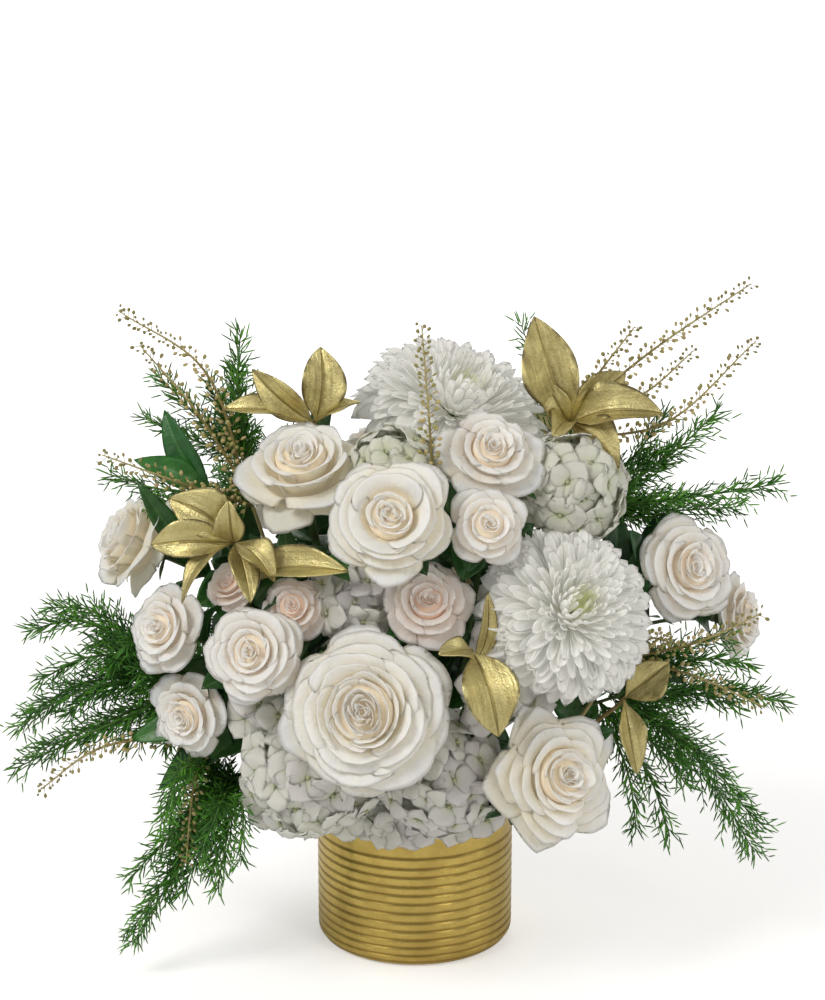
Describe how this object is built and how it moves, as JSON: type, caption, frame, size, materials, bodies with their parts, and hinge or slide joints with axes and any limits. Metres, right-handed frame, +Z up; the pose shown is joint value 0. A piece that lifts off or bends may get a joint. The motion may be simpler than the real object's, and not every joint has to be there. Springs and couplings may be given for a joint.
{
  "type": "floral table centerpiece",
  "caption": "Low round table arrangement of white roses, chrysanthemums, hydrangea, gilded leaves, fern and seed sprays standing in foam in a ribbed gold cylinder vase.",
  "frame": {"origin": "centre of the vase's flat foot, on the surface it stands on", "axes": "+Z up, -Y towards the arrangement's front, +X to the right seen from the front"},
  "size_m": [0.5051, 0.3517, 0.4404],
  "materials": {
    "vase_gold": "satin",
    "foam_green": "matte",
    "petal_white": "matte",
    "petal_blush": "matte",
    "mum_white": "matte",
    "hydrangea_white": "matte",
    "gilded_leaf": "satin",
    "leaf_green": "satin",
    "fern_green": "matte",
    "seed_pod": "matte",
    "stem_green": "matte"
  },
  "bodies": {
    "root": {"vase": "vase_gold", "foam_block": "foam_green", "rose_front": "petal_white", "rose_right_low": "petal_white", "rose_upper_left": "petal_white", "rose_centre": "petal_white", "rose_far_left": "petal_white", "rose_back": "petal_white", "spray_rose_top": "petal_white", "spray_rose_cup": "petal_white", "spray_rose_blush": "petal_blush", "spray_rose_pink": "petal_blush", "spray_rose_bud": "petal_blush", "spray_rose_left_inner": "petal_white", "spray_rose_left_outer": "petal_white", "spray_rose_left_low": "petal_white", "spray_rose_right": "petal_white", "spray_rose_right_outer": "petal_white", "spray_rose_back_left": "petal_white", "spray_rose_back_top": "petal_white", "rose_front_stem": "stem_green", "rose_right_low_stem": "stem_green", "rose_upper_left_stem": "stem_green", "rose_centre_stem": "stem_green", "rose_far_left_stem": "stem_green", "rose_back_stem": "stem_green", "spray_top_stem": "stem_green", "spray_blush_centre_stem": "stem_green", "spray_blush_left_stem": "stem_green", "spray_left_stem": "stem_green", "spray_right_stem": "stem_green", "spray_back_stem": "stem_green", "chrysanthemum_top": "mum_white", "chrysanthemum_right": "mum_white", "hydrangea_front_left": "hydrangea_white", "hydrangea_front_right": "hydrangea_white", "hydrangea_centre": "hydrangea_white", "hydrangea_top_left": "hydrangea_white", "hydrangea_top_right": "hydrangea_white", "hydrangea_back_left": "hydrangea_white", "hydrangea_back_right": "hydrangea_white", "gold_leaves_top_left": "gilded_leaf", "gold_leaves_left": "gilded_leaf", "gold_leaves_right": "gilded_leaf", "gold_leaves_front": "gilded_leaf", "gold_leaves_low_right": "gilded_leaf", "gold_leaves_back": "gilded_leaf", "green_leaves_left": "leaf_green", "green_leaves_right": "leaf_green", "seeds_upper_left": "seed_pod", "seeds_low_left": "seed_pod", "seeds_upper_right": "seed_pod", "seeds_right": "seed_pod", "seeds_top": "seed_pod", "fern_left": "fern_green", "fern_low_left": "fern_green", "fern_upper_left": "fern_green", "fern_upper_right": "fern_green", "fern_right": "fern_green", "fern_back": "fern_green"}
  },
  "joints": []
}
